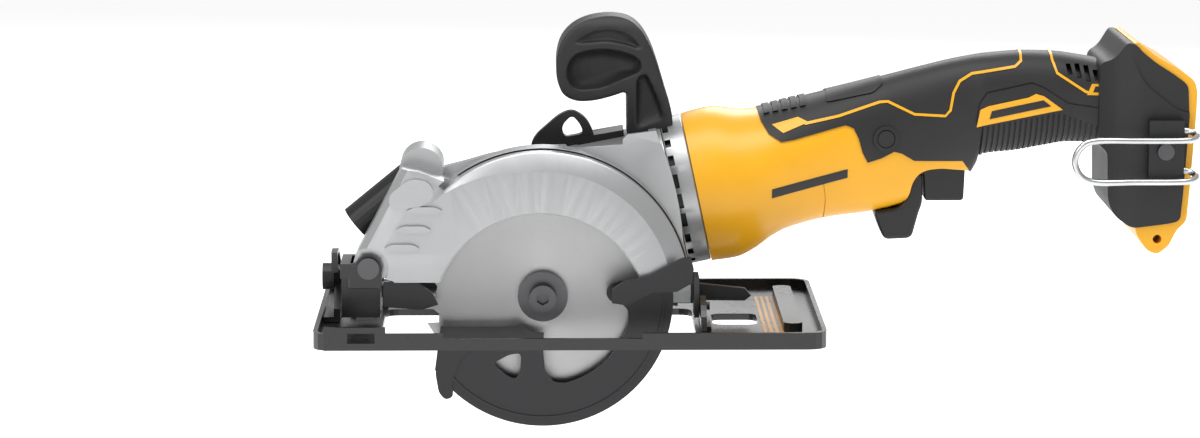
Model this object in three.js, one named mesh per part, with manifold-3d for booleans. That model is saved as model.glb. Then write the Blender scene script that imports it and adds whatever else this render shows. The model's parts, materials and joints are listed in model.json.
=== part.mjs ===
// Compact inline cordless circular saw, bare tool, 4-1/2 in blade on the operator's left.
// Millimetres. +X runs from the nose to the battery foot, +Y from the blade to the motor side, +Z up.
// The origin is on the sole plane of the shoe, in the blade's mid-plane, straight below the spindle.
import * as THREE from 'three';
import { mergeVertices } from 'three/addons/utils/BufferGeometryUtils.js';
import Module from 'manifold-3d';

const wasm = await Module();
wasm.setup();

// ---------------------------------------------------------------- driving dimensions
const BLADE_RADIUS = 57.15;
const BLADE_THICKNESS = 1.4;
const BLADE_TEETH = 24;
const ARBOR_RADIUS = 4.9;
const FLANGE_RADIUS = 12;
const CUT_DEPTH = 38.65;
const HUB_Z = BLADE_RADIUS - CUT_DEPTH;
const FIT = 0.3;
const WALL = 2.5;

const MOTOR_Y = 52;
const MOTOR_TILT = 12;
const GEAR_MODULE = 1.25;
const PINION_TEETH = 10;
const JACK_TEETH = 35;
const CENTRE_DISTANCE = GEAR_MODULE * (PINION_TEETH + JACK_TEETH) / 2;
const RING_RADIUS = 36.4;
const RING_START = 72;
const RING_END = 83;

const BEVEL_PINION_TEETH = 17;
const BEVEL_GEAR_TEETH = 23;
const BEVEL_GEAR_RADIUS = 13;
const BEVEL_PINION_RADIUS = BEVEL_GEAR_RADIUS * BEVEL_PINION_TEETH / BEVEL_GEAR_TEETH;

const GUARD_RADIUS = 71.5;
const GUARD_NEAR = -14;
const GUARD_FAR = 11;
const LOWER_GUARD_RADIUS = 62.5;
const LOWER_GUARD_NEAR = -8.5;
const LOWER_GUARD_FAR = 7;
const LOWER_GUARD_WALL = 1.5;
const LOWER_GUARD_START = -146;
const LOWER_GUARD_END = 8;
const SNOUT_RADIUS = 17;

const PIVOT_X = -83;
const PIVOT_Z = 34;
const WEB_REACH = 151;

const SHOE_FRONT = -108.5;
const SHOE_REAR = 134.3;
const SHOE_NEAR = -45;
const SHOE_FAR = 105;
const SHOE_THICKNESS = 3.2;
const RIM_HEIGHT = 8;
const RIM_THICKNESS = 2.2;
const FENCE_SCREW_X = -85.5;
const FENCE_SCREW_Y = 59;

const GRIP_HALF_WIDTH = 17.5;
const LOCK_OFF_X = 167;
const LOCK_OFF_Z = 89.5;
const LOCK_OFF_RADIUS = 4;
const FOOT_HALF_WIDTH = 36;
const WIRE_RADIUS = 1.6;

// ---------------------------------------------------------------- materials
function material(color, roughness, metalness) {
  return new THREE.MeshStandardMaterial({ color, roughness, metalness });
}
const YELLOW = material(0xf7b51c, 0.45, 0);
const BLACK = material(0x2b2b2c, 0.7, 0);
const SATIN = material(0xc9cbcc, 0.4, 0.3);
const DARK_GUARD = material(0x3a3b3d, 0.5, 0.3);
const BLADE_STEEL = material(0xb4b6b8, 0.3, 1);
const STEEL = material(0x9a9c9f, 0.35, 1);
const SHOE_PAINT = material(0x1c1c1d, 0.45, 0.2);
const COPPER = material(0xb8743c, 0.4, 1);
const ZINC = material(0xd0d2d4, 0.3, 1);

// ---------------------------------------------------------------- outlines
const radians = (degrees) => degrees * Math.PI / 180;

function arc(cx, cy, radius, from, to, steps) {
  const points = [];
  for (let i = 0; i <= steps; i += 1) {
    const angle = radians(from + (to - from) * i / steps);
    points.push([cx + radius * Math.cos(angle), cy + radius * Math.sin(angle)]);
  }
  return points;
}

function disc(cx, cy, radius, sides = 32) {
  return arc(cx, cy, radius, 0, 360 - 360 / sides, sides - 1);
}

function sector(inner, outer, from, to, steps) {
  return [...arc(0, HUB_Z, outer, from, to, steps), ...arc(0, HUB_Z, inner, to, from, steps)];
}

function rectangle(x0, x1, y0, y1) {
  return [[x0, y0], [x1, y0], [x1, y1], [x0, y1]];
}

function roundedRectangle(x0, x1, y0, y1, radius, steps = 4) {
  return [
    ...arc(x1 - radius, y1 - radius, radius, 0, 90, steps),
    ...arc(x0 + radius, y1 - radius, radius, 90, 180, steps),
    ...arc(x0 + radius, y0 + radius, radius, 180, 270, steps),
    ...arc(x1 - radius, y0 + radius, radius, 270, 360, steps),
  ];
}

function shapeOf(points) {
  return new THREE.Shape(points.map(([u, v]) => new THREE.Vector2(u, v)));
}

// ---------------------------------------------------------------- solids
function extrude(points, depth) {
  return new THREE.ExtrudeGeometry(shapeOf(points), { depth, bevelEnabled: false, steps: 1 });
}

// An outline in X and Z, thick from y0 to y1.
function slab(points, y0, y1) {
  return extrude(points, y1 - y0).rotateX(Math.PI / 2).translate(0, y1, 0);
}

// An outline in Y and Z, thick from x0 to x1.
function bulkhead(points, x0, x1) {
  const turn = new THREE.Matrix4().makeBasis(
    new THREE.Vector3(0, 1, 0), new THREE.Vector3(0, 0, 1), new THREE.Vector3(1, 0, 0));
  return extrude(points, x1 - x0).applyMatrix4(turn).translate(x0, 0, 0);
}

// An outline in X and Y, thick from z0 to z1.
function deck(points, z0, z1) {
  return extrude(points, z1 - z0).translate(0, 0, z0);
}

function block(x0, x1, y0, y1, z0, z1) {
  return new THREE.BoxGeometry(x1 - x0, y1 - y0, z1 - z0)
    .translate((x0 + x1) / 2, (y0 + y1) / 2, (z0 + z1) / 2);
}

function rodX(radius, y, z, x0, x1, sides = 24) {
  return new THREE.CylinderGeometry(radius, radius, x1 - x0, sides)
    .rotateZ(-Math.PI / 2).translate((x0 + x1) / 2, y, z);
}

function rodY(radius, x, z, y0, y1, sides = 24) {
  return new THREE.CylinderGeometry(radius, radius, y1 - y0, sides).translate(x, (y0 + y1) / 2, z);
}

function rodZ(radius, x, y, z0, z1, sides = 24) {
  return new THREE.CylinderGeometry(radius, radius, z1 - z0, sides)
    .rotateX(Math.PI / 2).translate(x, y, (z0 + z1) / 2);
}

// A turned piece about the Y axis; the profile lists [radius, height] and closes on itself.
function turned(profile, sides = 32) {
  const points = [...profile, profile[0]].map(([radius, height]) => new THREE.Vector2(radius, height));
  return new THREE.LatheGeometry(points, sides);
}

function collar(inner, outer, y0, y1, sides = 32) {
  return turned([[inner, y0], [outer, y0], [outer, y1], [inner, y1]], sides);
}

function toSolid(geometry) {
  const bare = geometry.clone();
  bare.deleteAttribute('normal');
  bare.deleteAttribute('uv');
  const merged = mergeVertices(bare, 1e-4);
  const corners = merged.index.array;
  const triVerts = [];
  for (let i = 0; i < corners.length; i += 3) {
    const [a, b, c] = corners.slice(i, i + 3);
    if (a !== b && b !== c && c !== a) triVerts.push(a, b, c);
  }
  return new wasm.Manifold(new wasm.Mesh({
    numProp: 3,
    vertProperties: new Float32Array(merged.attributes.position.array),
    triVerts: new Uint32Array(triVerts),
  }));
}

function fromSolid(solid) {
  const mesh = solid.getMesh();
  const geometry = new THREE.BufferGeometry();
  geometry.setAttribute('position', new THREE.BufferAttribute(new Float32Array(mesh.vertProperties), 3));
  geometry.setIndex(Array.from(mesh.triVerts));
  geometry.computeVertexNormals();
  return geometry;
}

function join(...geometries) {
  return fromSolid(geometries.map(toSolid).reduce((sum, next) => sum.add(next)));
}

function cut(base, ...tools) {
  return fromSolid(tools.map(toSolid).reduce((rest, tool) => rest.subtract(tool), toSolid(base)));
}

function keep(base, region) {
  return fromSolid(toSolid(base).intersect(toSolid(region)));
}

// Moves a geometry drawn along the jack shaft's own axis into the saw's frame.
function alongMotor(geometry) {
  return geometry.clone().rotateY(-radians(MOTOR_TILT)).translate(0, MOTOR_Y, HUB_Z);
}

// ---------------------------------------------------------------- assembly tree
const saw = new THREE.Group();
const spindleLine = new THREE.Group();
spindleLine.position.set(0, 0, HUB_Z);
const jackLine = new THREE.Group();
jackLine.position.set(0, MOTOR_Y, HUB_Z);
jackLine.rotation.y = -radians(MOTOR_TILT);
const motorLine = new THREE.Group();
motorLine.position.set(0, 0, CENTRE_DISTANCE);
jackLine.add(motorLine);
saw.add(spindleLine, jackLine);

function piece(name, geometry, finish, parent = saw) {
  const mesh = new THREE.Mesh(geometry, finish);
  mesh.name = name;
  parent.add(mesh);
  return mesh;
}

// ---------------------------------------------------------------- gears
// Straight-flanked teeth that thin towards the tip, with backlash at the pitch circle.
function gearOutline(teeth, rootRadius, tipRadius, rootHalf, tipHalf, phase) {
  const points = [];
  const pitch = 360 / teeth;
  for (let i = 0; i < teeth; i += 1) {
    const middle = phase + i * pitch;
    const flank = (radius, share) => {
      const angle = radians(middle + share * pitch);
      points.push([radius * Math.cos(angle), radius * Math.sin(angle)]);
    };
    flank(rootRadius, -rootHalf);
    flank(tipRadius, -tipHalf);
    flank(tipRadius, tipHalf);
    flank(rootRadius, rootHalf);
  }
  return points;
}

function withBore(outline, depth, boreRadius) {
  const shape = shapeOf(outline);
  shape.holes.push(new THREE.Path(disc(0, 0, boreRadius, 20).map(([u, v]) => new THREE.Vector2(u, v))));
  return new THREE.ExtrudeGeometry(shape, { depth, bevelEnabled: false, steps: 1 });
}

// Draws a bevel gear in toward its apex: height h shrinks by (apex - h) / apex.
function tapered(geometry, apex, boreRadius) {
  const place = geometry.attributes.position;
  for (let i = 0; i < place.count; i += 1) {
    const [x, y, h] = [place.getX(i), place.getY(i), place.getZ(i)];
    const shrink = Math.hypot(x, y) > boreRadius + 0.1 ? (apex - h) / apex : 1;
    place.setXY(i, x * shrink, y * shrink);
  }
  return geometry;
}

function spindlePieces() {
  const spindle = turned([[3.4, -0.6], [4.6, -0.6], [4.6, 4.8], [6, 4.8], [6, 49], [4, 49], [4, 66],
    [0, 66], [0, 12], [3.4, 12]], 28);
  piece('spindle', spindle, STEEL, spindleLine);

  const gearFace = 3.1;
  const outline = gearOutline(BEVEL_GEAR_TEETH, BEVEL_GEAR_RADIUS - 1.25, BEVEL_GEAR_RADIUS + 0.6,
    0.33, 0.12, -MOTOR_TILT);
  const gear = tapered(withBore(outline, gearFace, 6.3), BEVEL_PINION_RADIUS, 6.3)
    .rotateX(-Math.PI / 2).translate(0, MOTOR_Y - BEVEL_PINION_RADIUS, 0);
  const hub = collar(6.3, 10, 35, MOTOR_Y - BEVEL_PINION_RADIUS + 0.1, 24);
  piece('spindle_gear', join(gear, hub), STEEL, spindleLine);

  piece('inner_flange', collar(ARBOR_RADIUS, FLANGE_RADIUS, 1, 4.5), STEEL, spindleLine);
  piece('outer_flange', collar(3.4, FLANGE_RADIUS, -5.7, -1), STEEL, spindleLine);
  const bolt = join(rodY(6.5, 0, 0, -11.6, -6, 24), rodY(3, 0, 0, -6.2, 7, 16));
  piece('blade_bolt', cut(bolt, rodY(3.2, 0, 0, -12, -8.4, 6)), STEEL, spindleLine);
  piece('spindle_bearing_outer', collar(6.3, 13, 14.5, 21.5), STEEL, spindleLine);
  piece('spindle_bearing_inner', collar(4.3, 7.5, 59, 65, 24), STEEL, spindleLine);
}

function blade() {
  const gullet = BLADE_RADIUS - 6.5;
  const points = [];
  for (let i = 0; i < BLADE_TEETH; i += 1) {
    const start = i * 360 / BLADE_TEETH;
    const corner = (radius, turn) => {
      const angle = radians(start + turn);
      points.push([radius * Math.cos(angle), radius * Math.sin(angle)]);
    };
    corner(gullet + 1, 0);
    corner(BLADE_RADIUS, -1.2);
    corner(BLADE_RADIUS - 1.6, 4.6);
    corner(gullet, 10.2);
  }
  const shape = shapeOf(points);
  shape.holes.push(new THREE.Path(disc(0, 0, ARBOR_RADIUS, 24).map(([u, v]) => new THREE.Vector2(u, v))));
  const plate = new THREE.ExtrudeGeometry(shape, { depth: BLADE_THICKNESS, bevelEnabled: false, steps: 1 })
    .rotateX(Math.PI / 2).translate(0, BLADE_THICKNESS / 2, 0);
  piece('blade', plate, BLADE_STEEL, spindleLine);
}

// Turned and toothed pieces on the jack shaft; drawn about Z, then laid along the shaft.
function jackPieces() {
  const lay = (geometry, along) => geometry.rotateY(Math.PI / 2).translate(along, 0, 0);
  const pinionFace = 4.2;
  const outline = gearOutline(BEVEL_PINION_TEETH, BEVEL_PINION_RADIUS - 1.2, BEVEL_PINION_RADIUS + 0.65,
    0.33, 0.12, 90 + 180 / BEVEL_PINION_TEETH);
  const toothed = tapered(withBore(outline, pinionFace, 4.3), BEVEL_GEAR_RADIUS, 4.3);
  piece('bevel_pinion', lay(toothed.rotateX(Math.PI), BEVEL_GEAR_RADIUS), STEEL, jackLine);
  const shaft = join(rodX(4, 0, 0, 8.4, 69, 20), rodX(5.6, 0, 0, BEVEL_GEAR_RADIUS + FIT, 19.5, 20));
  piece('jack_shaft', shaft, STEEL, jackLine);
  const spur = gearOutline(JACK_TEETH, 20.3, 22.85, 0.33, 0.11, 0);
  piece('jack_gear', lay(withBore(spur, 9, 4.3), 50), STEEL, jackLine);
  for (const [name, along] of [['jack_bearing_front', 20], ['jack_bearing_rear', 62]]) {
    piece(name, collar(4.3, 9.5, 0, 6, 28).rotateZ(-Math.PI / 2).translate(along, 0, 0), STEEL, jackLine);
  }
}

function motorPieces() {
  const pinion = gearOutline(PINION_TEETH, 4.75, 7.35, 0.3, 0.1, 0);
  const teeth = extrude(pinion, 9.6).rotateY(Math.PI / 2).translate(49.8, 0, 0);
  piece('rotor_shaft', join(rodX(3, 0, 0, 49.8, 127, 20), teeth), STEEL, motorLine);
  piece('rotor_core', collar(3.3, 14, 0, 27, 28).rotateZ(-Math.PI / 2).translate(91, 0, 0), STEEL, motorLine);
  const blades = [];
  for (let i = 0; i < 9; i += 1) {
    blades.push(block(80, 87, -1, 1, 9, 29).rotateX(radians(i * 40)));
  }
  const fanHub = collar(3.3, 12, 0, 7, 28).rotateZ(-Math.PI / 2).translate(80, 0, 0);
  const backPlate = collar(3.3, 29, 0, 1.6, 36).rotateZ(-Math.PI / 2).translate(85.9, 0, 0);
  piece('fan', join(fanHub, backPlate, ...blades), BLACK, motorLine);
  const poles = [];
  for (let i = 0; i < 6; i += 1) {
    poles.push(block(90, 119, -4.5, 4.5, 14.8, 22).rotateX(radians(i * 60)));
  }
  const core = collar(21, 25, 0, 29, 36).rotateZ(-Math.PI / 2).translate(90, 0, 0);
  piece('stator', join(core, ...poles), COPPER, motorLine);
  const bearings = [['motor_bearing_front', 62, 9], ['motor_bearing_rear', 121, 8]];
  for (const [name, along, outer] of bearings) {
    const ring = collar(3.3, outer, 0, 5.5, 28).rotateZ(-Math.PI / 2).translate(along, 0, 0);
    piece(name, ring, STEEL, motorLine);
  }
}

// ---------------------------------------------------------------- gear case and ring
function gearCase() {
  const jackTube = alongMotor(rodX(14.2, 0, 0, -5, 50, 24));
  const chamber = alongMotor(join(rodX(25, 0, 0, 46, 62.5, 28),
    rodX(27, 0, CENTRE_DISTANCE, 46, 62.5, 28), block(46, 62.5, -24.9, 24.9, 1, CENTRE_DISTANCE)));
  const bell = alongMotor(rodX(RING_RADIUS, 0, CENTRE_DISTANCE, 58, RING_START - FIT, 40));
  const nearBoss = rodY(SNOUT_RADIUS, 0, HUB_Z, 5.2, 44, 28);
  const farBoss = rodY(14.2, 0, HUB_Z, 40, 67, 24);
  const flange = rodY(21.5, 0, HUB_Z, GUARD_FAR + FIT, 15, 28);
  const crown = slab([[62, 98], [41, 92], [6, 84.5], [-4, 76], [-4, 40], [14, 22], [50, 30]], 36, 68);
  const outer = join(jackTube, chamber, bell, nearBoss, farBoss, flange, crown);
  const tools = [
    rodY(6.8, 0, HUB_Z, 0, 60, 28),
    rodY(13.3, 0, HUB_Z, 14.2, 35, 24),
    rodY(14.1, 0, HUB_Z, 34, 43.8, 28),
    rodY(11.8, 0, HUB_Z, 43, 50, 24),
    rodY(4.6, 0, HUB_Z, 40, 68, 24),
    rodY(7.8, 0, HUB_Z, 50, 65.3, 24),
    rodY(13.3, 0, HUB_Z, 4, 9, 24),
    alongMotor(rodX(11.3, 0, 0, 2, 19.7, 24)),
    alongMotor(rodX(9.8, 0, 0, 19, 50, 24)),
    alongMotor(rodX(23.6, 0, 0, 48.5, 60.5, 28)),
    alongMotor(rodX(8.2, 0, CENTRE_DISTANCE, 48.5, 61, 24)),
    alongMotor(rodX(9.8, 0, 0, 60, 70, 28)),
    alongMotor(rodX(9.3, 0, CENTRE_DISTANCE, 60, 72, 28)),
    alongMotor(rodX(RING_RADIUS - 3.4, 0, CENTRE_DISTANCE, 69.5, 73, 28)),
    rodZ(3.1, 0, 28, 20, 40, 16),
    rodZ(2.4, 47, MOTOR_Y, 86, 100, 16),
  ];
  const ringFace = alongMotor(block(RING_START - FIT, 130, -60, 60, -60, 90));
  piece('gear_case', cut(outer, ...tools, ringFace), SATIN);
  piece('motor_ring', alongMotor(collar(RING_RADIUS - 3.4, RING_RADIUS, 0, RING_END - RING_START, 40)
    .rotateZ(-Math.PI / 2).translate(RING_START, 0, CENTRE_DISTANCE)), SATIN);
}

// ---------------------------------------------------------------- blade guards
function upperGuard() {
  const nose = [[-6, 60], [-59, 80.5], [-67, 81.5], [-88.5, 41], [-90.5, 36],
    ...arc(PIVOT_X, PIVOT_Z, 7.2, 190, 300, 5), [-76, 29], [-71, 27.5], [-48, 27], [-44, 31]];
  const body = join(slab(disc(0, HUB_Z, GUARD_RADIUS, 72), GUARD_NEAR, GUARD_FAR),
    slab(nose, GUARD_NEAR, GUARD_FAR));
  const web = slab([[0, 60], [10, 88], [40, 90], ...arc(PIVOT_X, PIVOT_Z, WEB_REACH, 22, -2, 8), [66, 13],
    [55, 13], [46, 30]], GUARD_FAR - WALL, GUARD_FAR);
  const underNose = slab(rectangle(-120, 0, -60, 27), -20, 20);
  const underTail = slab(rectangle(0, 50.5, -60, 23.5), -20, GUARD_FAR + 1);
  const tailEnd = slab([[50, -60], [120, -60], [120, 28], [72.5, 28], [64, 23.5], [50, 23.5]], -20,
    GUARD_FAR - WALL);
  const cavity = slab(disc(0, HUB_Z, GUARD_RADIUS - 6, 64), GUARD_NEAR + WALL, GUARD_FAR - WALL);
  const window = slab(disc(-1, HUB_Z - 10, 51.3, 56), -20, 0);
  const pocket = rodY(9.6, PIVOT_X, PIVOT_Z, -20, GUARD_NEAR + 3, 28);
  const shell = cut(join(body, web), cavity, window, underNose, underTail, tailEnd, pocket,
    rodY(SNOUT_RADIUS + FIT, 0, HUB_Z, 0, 20, 40),
    rodY(3.3, PIVOT_X, PIVOT_Z, -20, 20, 20), rodY(3, 60.3, 20, 0, 20, 16),
    slab(rectangle(-60, 46, -60, 27), GUARD_FAR - WALL - 1, GUARD_FAR + 1),
    slab(rectangle(46, 120, -60, 13), GUARD_FAR - WALL - 1, GUARD_FAR + 1));
  const backRing = slab(disc(0, HUB_Z, 27, 40), GUARD_FAR - WALL, GUARD_FAR);
  const back = cut(backRing, rodY(SNOUT_RADIUS + FIT, 0, HUB_Z, 0, 20, 40));
  piece('upper_guard', join(shell, back), SATIN);
  piece('guard_retainer', collar(13.3, 19.5, 4.1, 5.0, 36).translate(0, 0, HUB_Z), STEEL);
  piece('guard_spring', collar(SNOUT_RADIUS + 0.8, 20.5, 7.3, 8.2, 32).translate(0, 0, HUB_Z), STEEL);
  const deflector = [[-76, 26.6], [-76, 15], [-58, 13.5], [-50, 16], [-53, 22], [-60, 26.6]];
  piece('chip_deflector', slab(deflector, -12.6, -9.6), BLACK);
}

// The swinging guard: a rim over the teeth between two thin walls, the near one with sight windows.
function lowerGuard() {
  const [start, end, radius] = [LOWER_GUARD_START, LOWER_GUARD_END, LOWER_GUARD_RADIUS];
  const nearPlate = (points) => slab(points, LOWER_GUARD_NEAR, LOWER_GUARD_NEAR + LOWER_GUARD_WALL);
  const farPlate = (points) => slab(points, LOWER_GUARD_FAR - LOWER_GUARD_WALL, LOWER_GUARD_FAR);
  const rim = slab(sector(radius - 1.8, radius, start, end, 36), LOWER_GUARD_NEAR, LOWER_GUARD_FAR);
  const farWall = join(farPlate(sector(SNOUT_RADIUS + 2, radius, start, end, 36)),
    cut(farPlate(disc(0, HUB_Z, 22.5, 36)), rodY(SNOUT_RADIUS + FIT, 0, HUB_Z, 0, 20, 36)));
  const nearDisc = nearPlate([...arc(0, HUB_Z, radius, start, end, 36),
    [36, HUB_Z + 8], [32, HUB_Z - 10], [-20, HUB_Z - 14], [-49, HUB_Z - 14]]);
  const bigWindow = slab([[1, HUB_Z], [0.4, -8], [1.4, -17], [3.6, -20.8], [7, -22.6],
    ...arc(0, HUB_Z, 43, -75, -18, 10), [41, HUB_Z - 6], [30.5, HUB_Z + 4], [30, HUB_Z]], -20, 0);
  const littleWindow = slab([[-23, -13.4], [-16, -9.4], [-11.6, -9], [-10.8, -11], [-11, -17], [-13, -20.6],
    [-16, -19.4]], -20, 0);
  const hubWindow = rodY(17, 0, HUB_Z, -20, 0, 32);
  const nearWall = cut(nearDisc, bigWindow, littleWindow, hubWindow);
  const lobe = nearPlate([...arc(35.5, HUB_Z + 2.5, 5, 60, 300, 8), [44, HUB_Z - 8], [50, HUB_Z - 4],
    [50, HUB_Z + 5]]);
  const lipOutline = [[-46, -3], [-49.8, -8], [-51, -18], [-49.6, -26.8], [-47.6, -29.8], [-44.8, -29.8],
    [-43.6, -27], [-43.8, -22], [-40, -12], [-33, -4]];
  const lip = cut(slab(lipOutline, LOWER_GUARD_NEAR, LOWER_GUARD_FAR), rodY(radius - 1.8, 0, HUB_Z,
    LOWER_GUARD_NEAR + LOWER_GUARD_WALL, LOWER_GUARD_FAR - LOWER_GUARD_WALL, 48));
  piece('lower_guard', join(rim, farWall, nearWall, lobe, lip), DARK_GUARD);

  const leverPlan = [[33, 17.5], [40, 16.5], [52, 22.5], [64, 23], [71, 27], [72, 34], [70.5, 39.5], [66, 39],
    [51, 31], [38, 27.5], [33, 24]];
  const lever = slab(leverPlan, -18, -15);
  const post = rodY(2.8, 35.5, HUB_Z + 2.5, -16, LOWER_GUARD_NEAR - FIT, 16);
  piece('guard_lever', join(lever, post), DARK_GUARD);
}

// ---------------------------------------------------------------- housing and grip
// Sections of the body: x, lowest z, highest z, half width.
const BODY_SECTIONS = [
  [62, 22.5, 97.5, 36.6], [84, 27, 102, 37], [101, 31, 102.4, 37], [113, 38, 102.6, 35],
  [122, 44, 105, 32], [141, 49, 109.5, 27], [160, 51, 114.5, 22], [176, 54.5, 119, 19.5],
  [182, 70, 120.5, 18.5], [206, 73, 126, GRIP_HALF_WIDTH], [213, 81, 127.5, GRIP_HALF_WIDTH],
  [232, 82, 129, GRIP_HALF_WIDTH], [256, 86, 128.5, 18], [276, 84, 125.5, 21],
];

function loft(sections, shrink) {
  const sides = 24;
  const squareness = 2.4;
  const positions = [];
  const index = [];
  sections.forEach(([x, low, high, half]) => {
    for (let i = 0; i < sides; i += 1) {
      const angle = i * 2 * Math.PI / sides;
      const round = (value) => Math.sign(value) * Math.abs(value) ** (2 / squareness);
      positions.push(x, MOTOR_Y + (half - shrink) * round(Math.cos(angle)),
        (low + high) / 2 + ((high - low) / 2 - shrink) * round(Math.sin(angle)));
    }
  });
  const last = sections.length - 1;
  for (let k = 0; k < last; k += 1) {
    for (let i = 0; i < sides; i += 1) {
      const [a, b] = [k * sides + i, k * sides + (i + 1) % sides];
      index.push(a, b, b + sides, a, b + sides, a + sides);
    }
  }
  for (let i = 1; i < sides - 1; i += 1) {
    index.push(0, i + 1, i);
    index.push(last * sides, last * sides + i, last * sides + i + 1);
  }
  const geometry = new THREE.BufferGeometry();
  geometry.setAttribute('position', new THREE.BufferAttribute(new Float32Array(positions), 3));
  geometry.setIndex(index);
  return geometry;
}

// The line in X and Z above and behind which the black grip covers the yellow housing.
const GRIP_EDGE = [[104, 140], [104, 106], [106, 98], [110, 91.5], [116, 89], [147, 96], [151, 94],
  [154, 89], [157, 80], [160, 78], [166, 80.5], [174, 82], [182, 78.5], [206, 77.5], [209, 70], [209, 20],
  [340, 20], [340, 160], [104, 160]];

const FOOT_OUTER = [[274, 84], [274.3, 60], [277, 52], [284, 46], [287.5, 45.5], [292, 36.5], [298, 34],
  [303, 38], [307, 46], [311.5, 49], [313, 65], [315.5, 102], [315, 118], [306, 125], [297, 130],
  [287, 136.5], [279, 129], [274, 125]];
const FOOT_INNER = [[274, 84], [274.3, 60], [277, 52], [284, 46], [289, 46.5], [297, 48.5], [308, 52],
  [309.5, 65], [312, 102], [311.5, 115.5], [303, 122], [293, 128.5], [286.5, 133.5], [279, 129], [274, 125]];

function housingShells() {
  const hollow = loft(BODY_SECTIONS, WALL);
  const outside = loft(BODY_SECTIONS, 0);
  const motorFace = alongMotor(block(-60, RING_END + FIT, -80, 80, -80, 120));
  const triggerGap = block(182.2, 208.4, MOTOR_Y - 9.5, MOTOR_Y + 9.5, 50, 84);
  const buttonHole = rodY(LOCK_OFF_RADIUS + FIT, LOCK_OFF_X, LOCK_OFF_Z, 0, 110, 20);
  const shell = cut(outside, hollow, motorFace, triggerGap, buttonHole);
  const rearShell = keep(shell, block(100, 276, 0, 110, 0, 160));
  const rearRegion = slab(GRIP_EDGE, 0, 110);
  const frontShell = cut(shell, slab(GRIP_EDGE.map(([x, z]) => [x - 0.15, z - 0.25]), 0, 110), rearRegion);
  const bay = block(297, 330, MOTOR_Y - 30, MOTOR_Y + 30, 30, 117);
  const bayNeck = block(290, 300, MOTOR_Y - 24, MOTOR_Y + 24, 54, 112);
  const footBlock = slab(FOOT_INNER, MOTOR_Y - FOOT_HALF_WIDTH, MOTOR_Y + FOOT_HALF_WIDTH);
  const footHollow = slab([[277, 83], [277.5, 62], [281, 54], [287, 50], [287, 126], [281, 124], [277, 118]],
    MOTOR_Y - FOOT_HALF_WIDTH + WALL, MOTOR_Y + FOOT_HALF_WIDTH - WALL);
  const foot = cut(footBlock, bay, bayNeck, footHollow, block(270, 280, 38, 66, 90, 120));
  const grip = join(keep(rearShell, rearRegion), foot);
  const near = block(50, 340, 0, MOTOR_Y - 0.15, 0, 170);
  const far = block(50, 340, MOTOR_Y + 0.15, 110, 0, 170);
  piece('housing_left', keep(frontShell, near), YELLOW);
  piece('housing_right', keep(frontShell, far), YELLOW);
  piece('grip_left', keep(grip, near), BLACK);
  piece('grip_right', keep(grip, far), BLACK);

  const grown = FOOT_INNER.map(([x, z]) => [x + (x > 285 ? FIT : -5), z + (z > 90 ? FIT : -FIT)]);
  const band = cut(slab(FOOT_OUTER, MOTOR_Y - FOOT_HALF_WIDTH - 1, MOTOR_Y + FOOT_HALF_WIDTH + 1),
    slab(grown, 0, 110), bay, rodY(3, 298, 42, 0, 110, 16), block(270, 287, 0, 110, 40, 80),
    block(270, 280, 0, 110, 100, 140));
  piece('foot_trim', band, YELLOW);
}

function triggerPieces() {
  const guard = [[164, 48.8], [165.4, 42.6], [167.4, 39.4], [170, 38], [178, 39.4], [181.6, 42.4],
    [183.6, 47], [184.6, 51.6], [186, 55.6], [186, 69.6], [183, 72], [180.6, 66], [179.3, 60], [176.5, 53.8],
    [172, 52.2], [168, 51.4]];
  const grownBody = loft(BODY_SECTIONS, -FIT);
  piece('trigger_guard', cut(slab(guard, MOTOR_Y - 10, MOTOR_Y + 10), grownBody), BLACK);
  const trigger = [[183, 80], [183.4, 73], [186.5, 70.6], [187.2, 58.6], [188.8, 57], [203.4, 57],
    [206.2, 59.4], [207, 72], [207, 79.5]];
  piece('trigger', slab(trigger, MOTOR_Y - 8.5, MOTOR_Y + 8.5), BLACK);
  piece('trigger_spring', collar(1.5, 3, 0, 6, 16).rotateX(Math.PI / 2).translate(201, MOTOR_Y, 80), ZINC);
  piece('switch_body', block(184, 208, MOTOR_Y - 9, MOTOR_Y + 9, 87, 105), BLACK);
  piece('lock_off_button', rodY(LOCK_OFF_RADIUS, LOCK_OFF_X, LOCK_OFF_Z,
    MOTOR_Y - 22.4, MOTOR_Y + 22.4, 20), BLACK);
  piece('control_module', block(131, 149, MOTOR_Y - 17, MOTOR_Y + 17, 62, 84), BLACK);
}

function footPieces() {
  const rails = block(290.4, 300, MOTOR_Y - 20, MOTOR_Y + 20, 58, 108);
  const slots = [];
  for (let i = 0; i < 6; i += 1) {
    const y = MOTOR_Y - 15 + i * 6;
    slots.push(block(293, 301, y - 1, y + 1, 55, 96));
  }
  piece('terminal_block', cut(rails, ...slots, block(289, 294, MOTOR_Y - 18, MOTOR_Y + 18, 84, 92)), BLACK);
  const bladesOfMetal = [];
  for (let i = 0; i < 6; i += 1) {
    const y = MOTOR_Y - 15 + i * 6;
    bladesOfMetal.push(block(291, 299, y - 0.6, y + 0.6, 85, 91));
  }
  const bar = block(290.8, 292, MOTOR_Y - 17, MOTOR_Y + 17, 85, 91);
  piece('battery_terminals', join(bar, ...bladesOfMetal), COPPER);
}

// ---------------------------------------------------------------- belt hook
const HOOK_ROUTE = [
  [297, 13, 96], [306, 13, 96], [312, 12, 95.5], [314.6, 8.5, 94], [312, 5, 92.4], [304, 4.2, 92],
  [285, 4, 92], [266, 4, 92], [258.5, 4, 89], [255.6, 4, 82], [258.5, 4, 75], [266, 4, 72],
  [285, 4, 72], [304, 4.2, 72], [312, 5, 72.6], [314.6, 8.5, 74.4], [312, 12, 76], [306, 13, 76.5],
  [297, 13, 76.5],
];

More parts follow.
